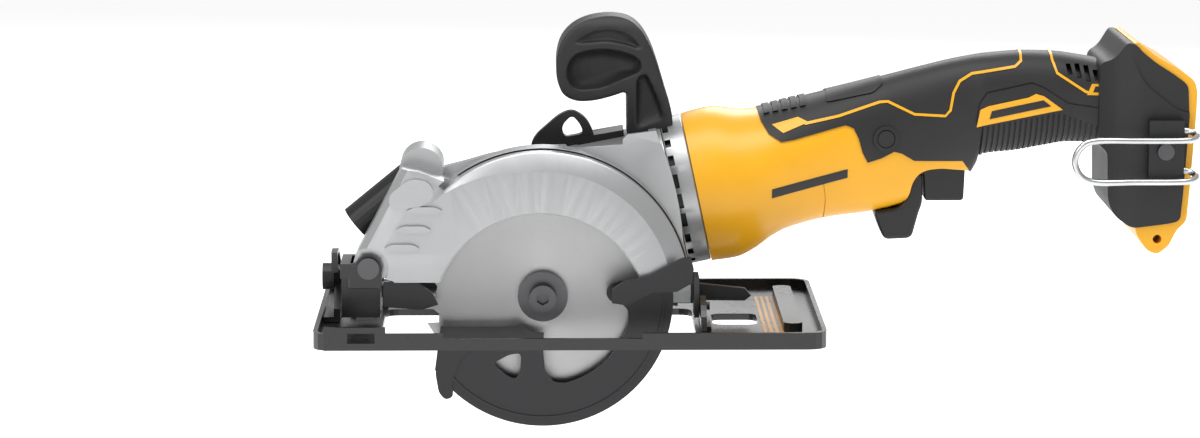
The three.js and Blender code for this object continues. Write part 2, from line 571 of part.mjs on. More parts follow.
function wire(route, radius, sides, steps) {
  const curve = new THREE.CatmullRomCurve3(route.map((point) => new THREE.Vector3(...point)), false,
    'centripetal');
  return new THREE.ExtrudeGeometry(shapeOf(disc(0, 0, radius, sides)),
    { steps, bevelEnabled: false, extrudePath: curve });
}

function hookPieces() {
  const hook = wire(HOOK_ROUTE, WIRE_RADIUS, 8, 44);
  piece('belt_hook', hook, ZINC);
  const face = MOTOR_Y - FOOT_HALF_WIDTH - FIT;
  const holder = block(292, 309, 9.8, face, 71, 101);
  piece('hook_block', cut(holder, wire(HOOK_ROUTE, WIRE_RADIUS + 0.5, 8, 44),
    rodY(2.2, 300, 86, 0, 17, 16)), BLACK);
  piece('hook_screw', join(rodY(4, 300, 86, 7.4, 9.5, 20), rodY(1.9, 300, 86, 9, 15.4, 12)), STEEL);
}

// ---------------------------------------------------------------- top handle and small fittings
function topPieces() {
  const horn = [[41, 98], [41, 113], [36, 110.5], [26, 107.5], [17, 107], [10, 110], [7, 118], [6.5, 128],
    [9, 137], [15, 143.5], [23, 147], [33, 148.5], [42, 147], [48, 142.5], [53, 134], [56.5, 124], [60, 112],
    [63.5, 101], [63, 99.5], [52, 96.6]];
  const front = disc(0, 0, 1, 32).map(([y, z]) => [MOTOR_Y + 17 * y, 124 + 34 * z]);
  const body = keep(slab(horn, MOTOR_Y - 17, MOTOR_Y + 17), bulkhead(front, 0, 70));
  const seat = slab([[30, 80], [30, 90], [41, 92.4], [62.4, 98.6], [75, 98.6], [75, 80]], 30, 75);
  piece('auxiliary_handle', cut(body, seat, rodZ(2.6, 47, MOTOR_Y, 85, 113, 16)), BLACK);
  piece('auxiliary_handle_bolt', rodZ(2.1, 47, MOTOR_Y, 87, 112, 14), STEEL);
  const loop = [[-5.6, 74], [-5.6, 85], [-3, 90], [8, 99.6], [11, 101.6], [14.4, 102.4], [18, 101.2],
    [21.4, 98], [25.4, 90], [25.4, 84], [6, 80]];
  const eye = [[10.5, 88.8], [9.6, 94.4], [11.5, 97.8], [14.5, 98.6], [17, 96.9], [19.5, 90.4]];
  const strip = [[20, 84], [38, 84], [38, 95.4], [20, 91.4]];
  const caseTop = [[-10, 70], [-4, 76.4], [6, 84.9], [41, 92.4], [41, 60], [-10, 60]];
  const plate = cut(slab(loop, MOTOR_Y - 8, MOTOR_Y - 4), slab(eye, 30, 60));
  const whole = join(plate, slab(strip, MOTOR_Y - 15, MOTOR_Y + 15));
  piece('tether_loop', cut(whole, slab(caseTop, 30, 75)), BLACK);
  const button = join(rodZ(5.5, 0, 28, 39, 47, 24), rodZ(2.6, 0, 28, 29.5, 40, 16));
  piece('spindle_lock_button', button, BLACK);
}

function dustPort() {
  const tilt = Math.atan2(50 - 77, -90 + 57);
  const length = Math.hypot(27, 33);
  const tube = cut(rodX(9, 0, 0, 0, length, 28), rodX(7, 0, 0, 3, length + 1, 24));
  const placed = tube.rotateY(-tilt).translate(-57, 21.5, 77);
  piece('dust_port', placed, BLACK);
}

function guardScrew() {
  const screw = join(rodY(3, 0, 0, 0, 2.2, 18), rodY(1.6, 0, 0, 2, 9, 12));
  piece('guard_screw', screw.translate(18, 15.6, 40), STEEL);
}

// ---------------------------------------------------------------- shoe and its brackets
function shoe() {
  const outline = roundedRectangle(SHOE_FRONT, SHOE_REAR, SHOE_NEAR, SHOE_FAR, 9);
  const floor = roundedRectangle(SHOE_FRONT + RIM_THICKNESS, SHOE_REAR - RIM_THICKNESS,
    SHOE_NEAR + RIM_THICKNESS, SHOE_FAR - RIM_THICKNESS, 7);
  const tray = cut(deck(outline, 0, RIM_HEIGHT), deck(floor, SHOE_THICKNESS, 20));
  const tab = join(block(-103, -74, SHOE_NEAR, SHOE_NEAR + RIM_THICKNESS, 0, 11),
    block(-95, -76, 52, 66, 2, 14));
  const bladeSlot = deck(roundedRectangle(-77, 73, -34, 46, 6), -1, 20);
  const rearSlot = deck(roundedRectangle(82, 104, 3, 32, 5), -1, 20);
  const frontSlot = deck(roundedRectangle(-93, -81, 18, 32, 3), -1, 20);
  const fenceSlot = block(-92, -79, -60, 70, 3.4, 8.2);
  const notch = block(-47, 47, -50, -40, 5.5, 12);
  const ridge = deck(roundedRectangle(115, 124, -20, 84, 4), 3, 8);
  piece('shoe', cut(join(tray, tab, ridge), bladeSlot, rearSlot, frontSlot, fenceSlot, notch,
    rodZ(2.7, FENCE_SCREW_X, FENCE_SCREW_Y, 7, 20, 16)), SHOE_PAINT);

  const band = (inner, outer, from, to, steps) => [
    ...arc(0, 0, outer, from, to, steps), ...arc(0, 0, inner, to, from, steps)];
  const frontPlate = join(bulkhead(band(31, 41, 28, 100, 14), -101, -98),
    bulkhead([[10, 3.5], [40, 3.5], [40, 12], [34, 26], [26, 22], [10, 10]], -101, -98),
    block(-106, -98, 10, 40, 3.5, 6));
  const frontSlotArc = bulkhead(band(33, 39, 35, 95, 12), -110, -90);
  piece('front_trunnion', cut(frontPlate, frontSlotArc), SHOE_PAINT);
  const rearPlate = join(bulkhead(arc(0, 0, 18, 12, 168, 14), 75.6, 78.4),
    block(75.6, 80.6, -16, 16, 3.5, 5.6));
  piece('rear_trunnion', cut(rearPlate, bulkhead(band(10.6, 15.4, 48, 132, 14), 70, 79),
    block(70, 85, -30, 30, -10, 3.5)), SHOE_PAINT);
  const screw = join(rodZ(7, FENCE_SCREW_X, FENCE_SCREW_Y, 15, 22, 8),
    rodZ(2.3, FENCE_SCREW_X, FENCE_SCREW_Y, 8.6, 16, 14));
  piece('fence_screw', screw, BLACK);
}

function frameBrackets() {
  const ear = (y0, y1) => join(rodY(6.5, PIVOT_X, PIVOT_Z, y0, y1, 24),
    block(-96.5, PIVOT_X, y0, y1, 29, 36));
  const parts = [
    ear(-13.6, -11.3), ear(11.4, 15.4),
    block(-96.5, -91.8, -13.6, 15.4, 29, 36),
    block(-96.5, -91.8, -2, 15.4, 8, 30),
    block(-96.5, -78, -2, 15.4, 8, 23),
    block(-96.5, -94, 2, 34, 10, 32),
  ];
  piece('front_bracket', cut(join(...parts), rodY(3.3, PIVOT_X, PIVOT_Z, -20, 30, 20),
    rodX(3, 27.6, 23.1, -100, -90, 16)), SHOE_PAINT);
  const pin = join(rodY(5.2, PIVOT_X, PIVOT_Z, -15.9, -13.9, 24), rodY(3, PIVOT_X, PIVOT_Z, -14.5, 17.5, 18));
  piece('depth_pivot_screw', pin, STEEL);

  const plate = slab(
    [...arc(PIVOT_X, PIVOT_Z, 150, -9, 24.5, 16), ...arc(PIVOT_X, PIVOT_Z, 138, 24.5, -9, 16)],
    12.3, 14.7);
  const slot = slab([...arc(PIVOT_X, PIVOT_Z, 147.4, -7.4, 22.2, 14),
    ...arc(PIVOT_X, PIVOT_Z, 140.6, 22.2, -7.4, 14)], 0, 20);
  const foot = join(block(64, 75.2, 12.3, 14.7, 12, 27), block(72.7, 75.2, -2, 14.7, 7.5, 27),
    rodX(2, 5, 12, 73, 80.5, 14));
  piece('depth_arc', join(cut(plate, slot), foot), SHOE_PAINT);
}

function levers() {
  const arm = slab([[54, 14], [66, 13], [98, 12.5], [101, 15], [98, 18.5], [66, 22], [58, 27], [53, 22]],
    16, 19.6);
  piece('depth_lever', join(arm, rodY(7, 60.3, 20, 15.1, 20.4, 24), rodY(2.6, 60.3, 20, 9, 16, 14)), BLACK);
  const turn = join(rodX(6.5, 27.6, 23.1, -107, -101.4, 24), rodX(2.6, 27.6, 23.1, -103, -92.5, 14),
    bulkhead([[27, 17], [60, 13], [63, 16], [61, 19.5], [28, 29.5]], -106, -102.4));
  piece('bevel_lever', turn, BLACK);
}

spindlePieces();
blade();
jackPieces();
motorPieces();
gearCase();
upperGuard();
lowerGuard();
housingShells();
triggerPieces();
footPieces();
hookPieces();
topPieces();
dustPort();
guardScrew();
shoe();
frameBrackets();
levers();

export default saw;
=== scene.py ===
"""Looks for a compact circular saw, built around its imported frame. Metres, +Z up."""

import json
import math

import bmesh
import bpy
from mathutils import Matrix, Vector


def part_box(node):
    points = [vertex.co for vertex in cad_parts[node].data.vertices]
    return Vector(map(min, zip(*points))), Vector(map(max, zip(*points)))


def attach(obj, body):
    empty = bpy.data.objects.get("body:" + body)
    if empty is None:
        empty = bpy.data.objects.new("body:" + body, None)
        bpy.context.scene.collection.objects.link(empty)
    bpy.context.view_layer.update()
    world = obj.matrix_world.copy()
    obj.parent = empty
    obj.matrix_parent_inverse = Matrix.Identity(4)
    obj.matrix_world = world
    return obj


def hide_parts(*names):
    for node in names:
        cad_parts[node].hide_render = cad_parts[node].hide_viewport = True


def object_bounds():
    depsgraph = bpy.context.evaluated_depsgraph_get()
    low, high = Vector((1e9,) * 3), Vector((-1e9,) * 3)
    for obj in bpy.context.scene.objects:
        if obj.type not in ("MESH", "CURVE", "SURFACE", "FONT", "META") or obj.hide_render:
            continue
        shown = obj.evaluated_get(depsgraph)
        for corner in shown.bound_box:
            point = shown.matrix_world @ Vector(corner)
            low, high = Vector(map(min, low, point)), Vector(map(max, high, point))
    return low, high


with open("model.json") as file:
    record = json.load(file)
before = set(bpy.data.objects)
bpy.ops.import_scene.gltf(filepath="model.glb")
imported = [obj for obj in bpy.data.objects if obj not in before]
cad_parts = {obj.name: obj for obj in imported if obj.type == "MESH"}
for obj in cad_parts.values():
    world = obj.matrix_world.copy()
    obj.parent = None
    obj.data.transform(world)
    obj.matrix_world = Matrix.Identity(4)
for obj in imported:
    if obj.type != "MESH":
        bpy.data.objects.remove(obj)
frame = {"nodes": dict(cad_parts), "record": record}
CAD_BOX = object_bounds()
NODES = frame["nodes"]
MM = 0.001


# ------------------------------------------------------------------ camera, light and floor
CAMERA_PLACE = (0.0015, -1.9192, 0.3638)
CAMERA_DOWN = 9.13
CAMERA_RIGHT = 0.777
CAMERA_LENS = 121.68


def make_camera():
    data = bpy.data.cameras.new("camera")
    data.lens = CAMERA_LENS
    data.sensor_width = 36.0
    data.clip_end = 20.0
    camera = bpy.data.objects.new("camera", data)
    camera.location = CAMERA_PLACE
    camera.rotation_euler = (math.radians(90.0 - CAMERA_DOWN), 0.0, -math.radians(CAMERA_RIGHT))
    bpy.context.scene.collection.objects.link(camera)
    bpy.context.scene.camera = camera


def make_light(name, place, aim, size, power):
    data = bpy.data.lights.new(name, "AREA")
    data.shape = "RECTANGLE"
    data.size, data.size_y = size
    data.energy = power
    light = bpy.data.objects.new(name, data)
    light.location = place
    light.rotation_euler = (Vector(aim) - Vector(place)).to_track_quat("-Z", "Y").to_euler()
    bpy.context.scene.collection.objects.link(light)


def make_world():
    world = bpy.data.worlds.new("studio")
    world.use_nodes = True
    background = world.node_tree.nodes["Background"]
    background.inputs["Color"].default_value = (1.0, 1.0, 1.0, 1.0)
    background.inputs["Strength"].default_value = 0.5
    bpy.context.scene.world = world


def make_floor():
    half = 14.0
    level = CAD_BOX[0][2] - 0.05
    mesh = bpy.data.meshes.new("floor")
    corners = [(-half, -half, level), (half, -half, level), (half, half, level), (-half, half, level)]
    mesh.from_pydata(corners, [], [(0, 1, 2, 3)])
    floor = bpy.data.objects.new("floor", mesh)
    bpy.context.scene.collection.objects.link(floor)
    material = bpy.data.materials.new("floor_paper")
    material.use_nodes = True
    shader = material.node_tree.nodes["Principled BSDF"]
    shader.inputs["Base Color"].default_value = (0.9, 0.9, 0.9, 1.0)
    shader.inputs["Roughness"].default_value = 0.9
    shader.inputs["Emission Color"].default_value = (1.0, 1.0, 1.0, 1.0)
    shader.inputs["Emission Strength"].default_value = 0.45
    floor.data.materials.append(material)


# ------------------------------------------------------------------ materials
def finish(name, colour, roughness, metallic=0.0, grain=900.0, relief=0.15, mottle=0.12, coat=0.0):
    """A plain surface with fine moulded or cast grain, uneven gloss and slight colour change."""
    material = bpy.data.materials.new(name)
    material.use_nodes = True
    nodes, links = material.node_tree.nodes, material.node_tree.links
    shader = nodes["Principled BSDF"]
    shader.inputs["Metallic"].default_value = metallic
    shader.inputs["Coat Weight"].default_value = coat
    shader.inputs["Coat Roughness"].default_value = 0.25
    place = nodes.new("ShaderNodeTexCoord")

    fine = nodes.new("ShaderNodeTexNoise")
    fine.inputs["Scale"].default_value = grain
    fine.inputs["Detail"].default_value = 3.0
    links.new(place.outputs["Object"], fine.inputs["Vector"])

    broad = nodes.new("ShaderNodeTexNoise")
    broad.inputs["Scale"].default_value = 28.0
    broad.inputs["Detail"].default_value = 5.0
    links.new(place.outputs["Object"], broad.inputs["Vector"])

    tint = nodes.new("ShaderNodeValToRGB")
    tint.color_ramp.elements[0].color = [c * (1.0 - mottle) for c in colour] + [1.0]
    tint.color_ramp.elements[1].color = [min(1.0, c * (1.0 + mottle)) for c in colour] + [1.0]
    tint.color_ramp.elements[0].position = 0.3
    tint.color_ramp.elements[1].position = 0.7
    links.new(broad.outputs["Fac"], tint.inputs["Fac"])
    links.new(tint.outputs["Color"], shader.inputs["Base Color"])

    gloss = nodes.new("ShaderNodeMapRange")
    gloss.inputs["To Min"].default_value = max(0.05, roughness - 0.07)
    gloss.inputs["To Max"].default_value = min(1.0, roughness + 0.07)
    links.new(broad.outputs["Fac"], gloss.inputs["Value"])
    links.new(gloss.outputs["Result"], shader.inputs["Roughness"])

    bump = nodes.new("ShaderNodeBump")
    bump.inputs["Strength"].default_value = relief
    bump.inputs["Distance"].default_value = 0.0002
    links.new(fine.outputs["Fac"], bump.inputs["Height"])
    links.new(bump.outputs["Normal"], shader.inputs["Normal"])
    return material


def brushed(name, colour, roughness, rings, turned_about):
    """Steel with fine brush lines in circles about a point in X and Z."""
    material = finish(name, colour, roughness, metallic=1.0, mottle=0.06)
    nodes, links = material.node_tree.nodes, material.node_tree.links
    shader = nodes["Principled BSDF"]
    place = nodes.new("ShaderNodeTexCoord")
    shift = nodes.new("ShaderNodeVectorMath")
    shift.operation = "SUBTRACT"
    shift.inputs[1].default_value = [c * MM for c in turned_about]
    links.new(place.outputs["Object"], shift.inputs[0])
    flat = nodes.new("ShaderNodeVectorMath")
    flat.operation = "MULTIPLY"
    flat.inputs[1].default_value = (1.0, 0.0, 1.0)
    links.new(shift.outputs["Vector"], flat.inputs[0])
    radius = nodes.new("ShaderNodeVectorMath")
    radius.operation = "LENGTH"
    links.new(flat.outputs["Vector"], radius.inputs[0])
    lines = nodes.new("ShaderNodeTexNoise")
    lines.noise_dimensions = "1D"
    lines.inputs["Scale"].default_value = rings
    lines.inputs["Detail"].default_value = 4.0
    links.new(radius.outputs["Value"], lines.inputs["W"])
    bump = nodes.new("ShaderNodeBump")
    bump.inputs["Strength"].default_value = 0.18
    bump.inputs["Distance"].default_value = 0.0002
    links.new(lines.outputs["Fac"], bump.inputs["Height"])
    links.new(bump.outputs["Normal"], shader.inputs["Normal"])
    tangent = nodes.new("ShaderNodeTangent")
    tangent.direction_type = "RADIAL"
    tangent.axis = "Y"
    links.new(tangent.outputs["Tangent"], shader.inputs["Tangent"])
    shader.inputs["Anisotropic"].default_value = 0.75
    return material


def make_materials():
    return {
        "yellow_housing": finish("yellow_plastic", (0.87, 0.42, 0.010), 0.34, relief=0.12, mottle=0.04),
        "black_grip": finish("black_rubber", (0.0125, 0.0125, 0.013), 0.55, grain=1500, relief=0.3),
        "black_plastic": finish("black_plastic", (0.009, 0.009, 0.0095), 0.38, relief=0.15),
        "satin_casting": finish("satin_silver", (0.45, 0.455, 0.46), 0.34, metallic=0.7, grain=1400,
                                relief=0.1, mottle=0.05),
        "dark_guard": finish("dark_guard_paint", (0.022, 0.022, 0.024), 0.34, metallic=0.3, relief=0.1),
        "blade_plate": brushed("blade_steel", (0.43, 0.43, 0.435), 0.36, 2600.0, joint_place("blade_spin")),
        "machined_steel": finish("machined_steel", (0.11, 0.11, 0.115), 0.32, metallic=0.9),
        "shoe_paint": finish("shoe_paint", (0.008, 0.008, 0.0085), 0.28, relief=0.12, coat=0.3),
        "copper": finish("copper", (0.6, 0.28, 0.14), 0.35, metallic=1.0),
        "zinc_wire": finish("zinc_plate", (0.62, 0.63, 0.64), 0.24, metallic=1.0),
        "gold_print": finish("gold_print", (0.42, 0.22, 0.05), 0.45, metallic=0.3, mottle=0.2),
    }


JOINTS = {row["name"]: row for row in frame["record"]["behaviour"]["joints"]}


def joint_place(name):
    return tuple(c / MM for c in JOINTS[name]["pos_m"])


MATERIALS = make_materials()
SLOT_OF = {row["node"]: row["material_slot"] for row in frame["record"]["subparts"]}


def dress(obj, slot):
    obj.data.materials.clear()
    obj.data.materials.append(MATERIALS[slot])


def smooth(obj, angle=32.0):
    for polygon in obj.data.polygons:
        polygon.use_smooth = True
    obj.data.set_sharp_from_angle(angle=math.radians(angle))


def soften(obj, width=0.4, segments=2, angle=28.0):
    """Rounds the sharp edges of a piece by a small bevel."""
    bevel = obj.modifiers.new("edges", "BEVEL")
    bevel.width = width * MM
    bevel.segments = segments
    bevel.limit_method = "ANGLE"
    bevel.angle_limit = math.radians(angle)
    bevel.harden_normals = True


def dress_frame():
    for name, obj in NODES.items():
        dress(obj, SLOT_OF[name])
        smooth(obj)
        soften(obj)


# ------------------------------------------------------------------ outlines, in millimetres
def arc(cx, cz, radius, start, end, steps):
    """Points on an arc in X and Z, angles in degrees, anticlockwise seen from the blade side."""
    points = []
    for i in range(steps + 1):
        angle = math.radians(start + (end - start) * i / steps)
        points.append((cx + radius * math.cos(angle), cz + radius * math.sin(angle)))
    return points


def rounded(corners, radius, steps=5):
    """The outline with each corner turned into an arc of about this radius."""
    points = []
    count = len(corners)
    for i in range(count):
        here = Vector(corners[i])
        before = Vector(corners[i - 1]) - here
        after = Vector(corners[(i + 1) % count]) - here
        reach = min(radius, before.length * 0.48, after.length * 0.48)
        start, end = here + before.normalized() * reach, here + after.normalized() * reach
        for k in range(steps + 1):
            t = k / steps
            point = start * (1 - t) ** 2 + here * (2 * t * (1 - t)) + end * t ** 2
            points.append((point.x, point.y))
    return points


def ribbon(path, width):
    """A closed outline of this width along an open path."""
    left, right = [], []
    last = len(path) - 1
    for i, here in enumerate(path):
        back, ahead = Vector(path[max(i - 1, 0)]), Vector(path[min(i + 1, last)])
        along = (ahead - back).normalized()
        side = Vector((-along.y, along.x)) * width / 2
        left.append(tuple(Vector(here) + side))
        right.append(tuple(Vector(here) - side))
    return left + right[::-1]


def eased(points):
    """A smooth curve through the points that never overshoots them."""
    xs = [p[0] for p in points]
    ys = [p[1] for p in points]
    slopes = [(ys[i + 1] - ys[i]) / (xs[i + 1] - xs[i]) for i in range(len(xs) - 1)]
    bends = [slopes[0]]
    for a, b in zip(slopes, slopes[1:]):
        bends.append(0.0 if a * b <= 0 else 2 * a * b / (a + b))
    bends.append(slopes[-1])

    def value(x):
        x = min(max(x, xs[0]), xs[-1])
        i = max(k for k in range(len(xs) - 1) if xs[k] <= x)
        span = xs[i + 1] - xs[i]
        t = (x - xs[i]) / span
        return ((1 + 2 * t) * (1 - t) ** 2 * ys[i] + t * (1 - t) ** 2 * span * bends[i]
                + t * t * (3 - 2 * t) * ys[i + 1] - t * t * (1 - t) * span * bends[i + 1])
    return value


# ------------------------------------------------------------------ meshes
def make(name, points, faces):
    """An object from points in millimetres."""
    mesh = bpy.data.meshes.new(name)
    mesh.from_pydata([tuple(c * MM for c in p) for p in points], [], faces)
    bm = bmesh.new()
    bm.from_mesh(mesh)
    bmesh.ops.recalc_face_normals(bm, faces=bm.faces)
    bm.to_mesh(mesh)
    bm.free()
    obj = bpy.data.objects.new(name, mesh)
    bpy.context.scene.collection.objects.link(obj)
    return obj


def skin(name, rings, closed=False):
    """Joins rings of equal length into a closed body, with flat ends unless it closes on itself."""
    count = len(rings[0])
    points = [p for ring in rings for p in ring]
    faces = []
    for k in range(len(rings) if closed else len(rings) - 1):
        a, b = k * count, (k + 1) % len(rings) * count
        for i in range(count):
            j = (i + 1) % count
            faces.append((a + i, a + j, b + j, b + i))
    if not closed:
        faces.append(tuple(range(count)))
        faces.append(tuple(range(len(points) - count, len(points))))
    return make(name, points, faces)


def prism(name, outline, near, far):
    """An outline in X and Z, solid from y = near to y = far."""
    return skin(name, [[(x, y, z) for x, z in outline] for y in (near, far)])


def cross_prism(name, outline, start, end):
    """An outline in Y and Z, solid from x = start to x = end."""
    return skin(name, [[(x, y, z) for y, z in outline] for x in (start, end)])


def slab(name, outline, low, high):
    """An outline in X and Y, solid from z = low to z = high."""
    return skin(name, [[(x, y, z) for x, y in outline] for z in (low, high)])


def block(name, x0, x1, y0, y1, z0, z1):
    return slab(name, [(x0, y0), (x1, y0), (x1, y1), (x0, y1)], z0, z1)


def turned(name, profile, steps, centre=(0, 0, 0), axis=(0, 1, 0)):
    """A closed profile of (radius, along) turned round an axis through the centre."""
    turn = Vector((0, 0, 1)).rotation_difference(Vector(axis)).to_matrix()
    rings = []
    for i in range(steps):
        angle = 2 * math.pi * i / steps
        ring = []
        for radius, along in profile:
            place = turn @ Vector((radius * math.cos(angle), radius * math.sin(angle), along))
            ring.append(tuple(place + Vector(centre)))
        rings.append(ring)
    return skin(name, rings, closed=True)


def swept(name, profile_at, start, end, steps, centre):
    """A closed profile of (radius, y), which may change with the angle, swept round a centre in X and Z."""
    rings = []
    for i in range(steps + 1):
        degrees = start + (end - start) * i / steps
        angle = math.radians(degrees)
        rings.append([(centre[0] + radius * math.cos(angle), y, centre[2] + radius * math.sin(angle))
                      for radius, y in profile_at(degrees)])
    return skin(name, rings)


def turned_part(name, profile, start, end, steps, centre):
    """A closed profile of (radius, y) swept round a centre between two angles in degrees."""
    return swept(name, lambda degrees: profile, start, end, steps, centre)


def curve_through(points, per_span=8):
    """A smooth path through the points."""
    path = []
    last = len(points) - 1
    for i in range(last):
        a, b = Vector(points[max(i - 1, 0)]), Vector(points[i])
        c, d = Vector(points[i + 1]), Vector(points[min(i + 2, last)])
        for k in range(per_span):
            t = k / per_span
            path.append(0.5 * (2 * b + (c - a) * t + (2 * a - 5 * b + 4 * c - d) * t ** 2
                               + (3 * b - a - 3 * c + d) * t ** 3))
    return path + [Vector(points[last])]


def wire(name, path, radius, sides=20):
    """A round wire along a path, with its section carried along without twist."""
    rings = []
    side = None
    for i, here in enumerate(path):
        ahead = path[min(i + 1, len(path) - 1)] - path[max(i - 1, 0)]
        ahead.normalize()
        if side is None:
            side = ahead.orthogonal()
        side = (side - ahead * side.dot(ahead)).normalized()
        other = ahead.cross(side)
        ring = []
        for k in range(sides):
            angle = 2 * math.pi * k / sides
            ring.append(tuple(here + (side * math.cos(angle) + other * math.sin(angle)) * radius))
        rings.append(ring)
    return skin(name, rings)


def rod(name, radius, start, end, steps=48):
    """A round bar between two points."""
    along = Vector(end) - Vector(start)
    turn = Vector((0, 0, 1)).rotation_difference(along).to_matrix()
    rings = []
    for height in (0.0, along.length):
        ring = []
        for i in range(steps):
            angle = 2 * math.pi * i / steps
            place = turn @ Vector((radius * math.cos(angle), radius * math.sin(angle), height))
            ring.append(tuple(place + Vector(start)))
        rings.append(ring)
    return skin(name, rings)


def change(target, tool, operation):
    step = target.modifiers.new("change", "BOOLEAN")
    step.operation = operation
    step.solver = "MANIFOLD"
    step.object = tool
    shown = target.evaluated_get(bpy.context.evaluated_depsgraph_get())
    mesh = bpy.data.meshes.new_from_object(shown)
    target.modifiers.clear()
    old, target.data = target.data, mesh
    bpy.data.meshes.remove(old)
    bpy.data.objects.remove(tool)
    return target


def cut(target, *tools):
    for tool in tools:
        change(target, tool, "DIFFERENCE")
    return target


def join(target, *others):
    for other in others:
        change(target, other, "UNION")
    return target


def keep(target, region):
    return change(target, region, "INTERSECT")


def bake(obj):
    """Applies an object's modifiers to its mesh."""
    shown = obj.evaluated_get(bpy.context.evaluated_depsgraph_get())
    mesh = bpy.data.meshes.new_from_object(shown)
    obj.modifiers.clear()
    obj.data = mesh
    return obj


def melt(obj, voxel=0.8, rounds=12):
    """Turns a body with hard edges into a soft moulded one."""
    step = obj.modifiers.new("voxels", "REMESH")
    step.mode = "VOXEL"
    step.voxel_size = voxel * MM
    step.use_smooth_shade = True
    relax = obj.modifiers.new("relax", "SMOOTH")
    relax.factor = 0.5
    relax.iterations = rounds
    return bake(obj)


def twin(obj):
    """A second piece with a mesh of its own."""
    other = obj.copy()
    other.data = obj.data.copy()
    bpy.context.scene.collection.objects.link(other)
    return other


def from_frame(name, node):
    """A new piece that starts as the CAD shape of a node."""
    mesh = NODES[node].data.copy()
    bm = bmesh.new()
    bm.from_mesh(mesh)
    bmesh.ops.remove_doubles(bm, verts=bm.verts, dist=0.002 * MM)
    bmesh.ops.dissolve_limit(bm, angle_limit=math.radians(0.5), verts=bm.verts, edges=bm.edges)
    bmesh.ops.triangulate(bm, faces=bm.faces)
    bm.to_mesh(mesh)
    bm.free()
    obj = bpy.data.objects.new(name, mesh)
    bpy.context.scene.collection.objects.link(obj)
    return obj


def settle(obj, slot, body, nodes=(), width=0.4, segments=2, angle=28.0):
    """Gives a finished piece its material, soft edges and body, and hides the nodes that it stands for."""
    dress(obj, slot)
    smooth(obj)
    if width:
        soften(obj, width, segments, angle)
    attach(obj, body)
    if nodes:
        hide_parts(*nodes)
    return obj


# ------------------------------------------------------------------ lines that the joints give
HUB = joint_place("blade_spin")
MOTOR_START = joint_place("rotor_spin")
MOTOR_AXIS = Vector(JOINTS["rotor_spin"]["axis"]).normalized()
BODY_Y = MOTOR_START[1]
THROUGH = (-30, 140)  # from before the body to behind it, for tools that cut right through


def on_motor(along, above):
    """X and Z of a point this far along the motor's axis and this far above it."""
    return (MOTOR_START[0] + along * MOTOR_AXIS.x - above * MOTOR_AXIS.z,
            MOTOR_START[2] + along * MOTOR_AXIS.z + above * MOTOR_AXIS.x)


# ------------------------------------------------------------------ housing and grip
HOUSING_START = 83.1
BODY_LOW = eased([(60, 22.5), (83, 26.8), (95, 28.6), (104, 33), (113, 39.6), (121, 43.6), (141, 48.6),
                 (160, 51), (176, 54.6), (190, 61), (203, 68), (210, 71), (215, 80), (232, 82), (246, 84.5),
                 (257, 86.2), (270, 86), (276, 84)])
BODY_HIGH = eased([(60, 96), (72, 100.4), (84, 102.8), (97, 101.4), (105, 102), (123, 106), (140, 110.2),
                   (159, 115), (186, 122), (203, 126), (218, 128.4), (236, 129.6), (250, 129.2), (262, 127.6),
                   (276, 125)])
BODY_HALF = eased([(60, 36.4), (84, 37.2), (101, 36.6), (113, 34), (124, 31), (141, 26.5), (160, 22),
                  (180, 18.6), (206, 17.4), (232, 17.2), (256, 17.8), (268, 19.5), (276, 22)])
BODY_SQUARE = eased([(60, 2.0), (100, 2.1), (140, 2.4), (200, 2.5), (276, 2.5)])
BODY_SIDES = 96
BODY_START, BODY_END = 60.0, 276.0
GRIP_RAISED = 0.7

GRIP_REGION = [(104, 150), (104, 106), (106, 98.5), (109.5, 93), (115.5, 89.3), (122, 90.3), (147, 96.6),
               (151, 95), (153.5, 90), (155.5, 83), (158, 78), (165, 80), (171, 83), (175, 82), (181, 78.3),
               (205, 77.6), (209, 72), (212, 50), (300, 50), (300, 150)]
TRIGGER_RECESS = [(176.5, 40), (176.5, 54.5), (179.3, 60), (180.6, 67), (183.5, 71.5), (188, 73.5), (195, 74),
                  (207, 72.3), (210.5, 71), (212.5, 76.5), (214.5, 81.2), (216, 40)]
STRIPE_FRONT = [(127, 97.6), (144, 101), (164, 107.2), (168, 107.4), (181, 101.2), (196, 100.3), (198.4, 103),
                (200, 111.5), (203, 117), (209, 120.6), (230, 124), (233, 126.5), (233.6, 134)]
STRIPE_REAR = [(247.8, 135), (248.3, 127), (250.3, 121), (264, 112.2), (268, 111.2)]
SEAM_WIDTH = 0.5


def body_surface(name, grow, start=BODY_START, end=BODY_END, spacing=2.0):
    """The outer form of housing and grip, a closed body grown outwards by this much."""
    steps = int((end - start) / spacing)
    rings = []
    for k in range(steps + 1):
        x = start + (end - start) * k / steps
        low, high = BODY_LOW(x) - grow, BODY_HIGH(x) + grow
        half, power = BODY_HALF(x) + grow, 2 / BODY_SQUARE(x)
        ring = []
        for i in range(BODY_SIDES):
            angle = 2 * math.pi * (i + 0.5) / BODY_SIDES
            c, s = math.cos(angle), math.sin(angle)
            ring.append((x, BODY_Y + half * math.copysign(abs(c) ** power, c),
                         (low + high) / 2 + (high - low) / 2 * math.copysign(abs(s) ** power, s)))
        rings.append(ring)
    return skin(name, rings)


def on_both_sides(name, outlines):
    """Prisms right through the body from outlines in X and Z."""
    whole = prism(name, outlines[0], BODY_Y - 60, BODY_Y + 60)
    for outline in outlines[1:]:
        join(whole, prism("more", outline, BODY_Y - 60, BODY_Y + 60))
    return whole


def skin_patch(name, outlines, outside, inside):
    """The part of a shell round the body, from one depth to another, that lies in the outlines."""
    start = min(x for outline in outlines for x, _ in outline) - 4
    end = max(x for outline in outlines for x, _ in outline) + 4
    start, end = max(start, BODY_START), min(end, BODY_END)
    patch = body_surface(name, outside, start, end, 1.5)
    cut(patch, body_surface("core", inside, start - 1, end + 1, 1.5))
    return keep(patch, on_both_sides("outlines", outlines))


